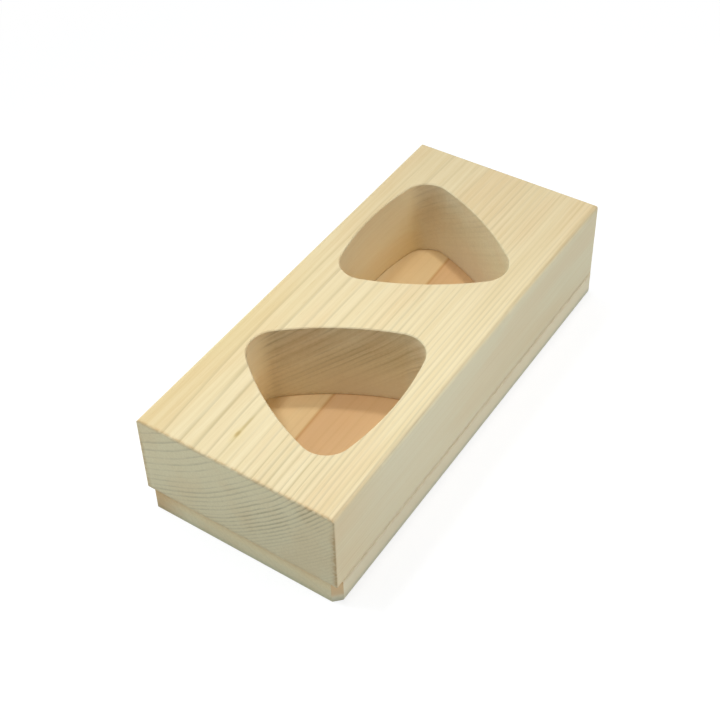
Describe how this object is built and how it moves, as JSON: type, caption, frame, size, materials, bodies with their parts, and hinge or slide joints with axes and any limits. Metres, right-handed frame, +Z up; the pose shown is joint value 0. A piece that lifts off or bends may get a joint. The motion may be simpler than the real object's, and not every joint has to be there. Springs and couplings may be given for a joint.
{
  "type": "rice ball press mould",
  "caption": "Wooden rice ball mould: a thick block with rounded-triangle cavities right through it, standing on a loose flat base that closes them from below.",
  "frame": {"origin": "middle of the block's outline at the underside of the base", "axes": "+X along the length and the grain, from the end whose base corners are cut off; +Z up"},
  "size_m": [0.206, 0.09, 0.0495],
  "materials": {
    "block_wood": "planed, unvarnished pale cypress",
    "wide_board_wood": "planed, unvarnished pinkish cypress",
    "narrow_board_wood": "planed, unvarnished yellow-tan cypress"
  },
  "bodies": {
    "base": {"base_board_wide": "wide_board_wood", "base_board_narrow": "narrow_board_wood"},
    "block": {"mould_block": "block_wood"}
  },
  "joints": [
    {"name": "block_lift", "type": "slide", "parent": "base", "child": "block", "axis": [0, 0, 1], "range_m": [0, 0.06]}
  ]
}
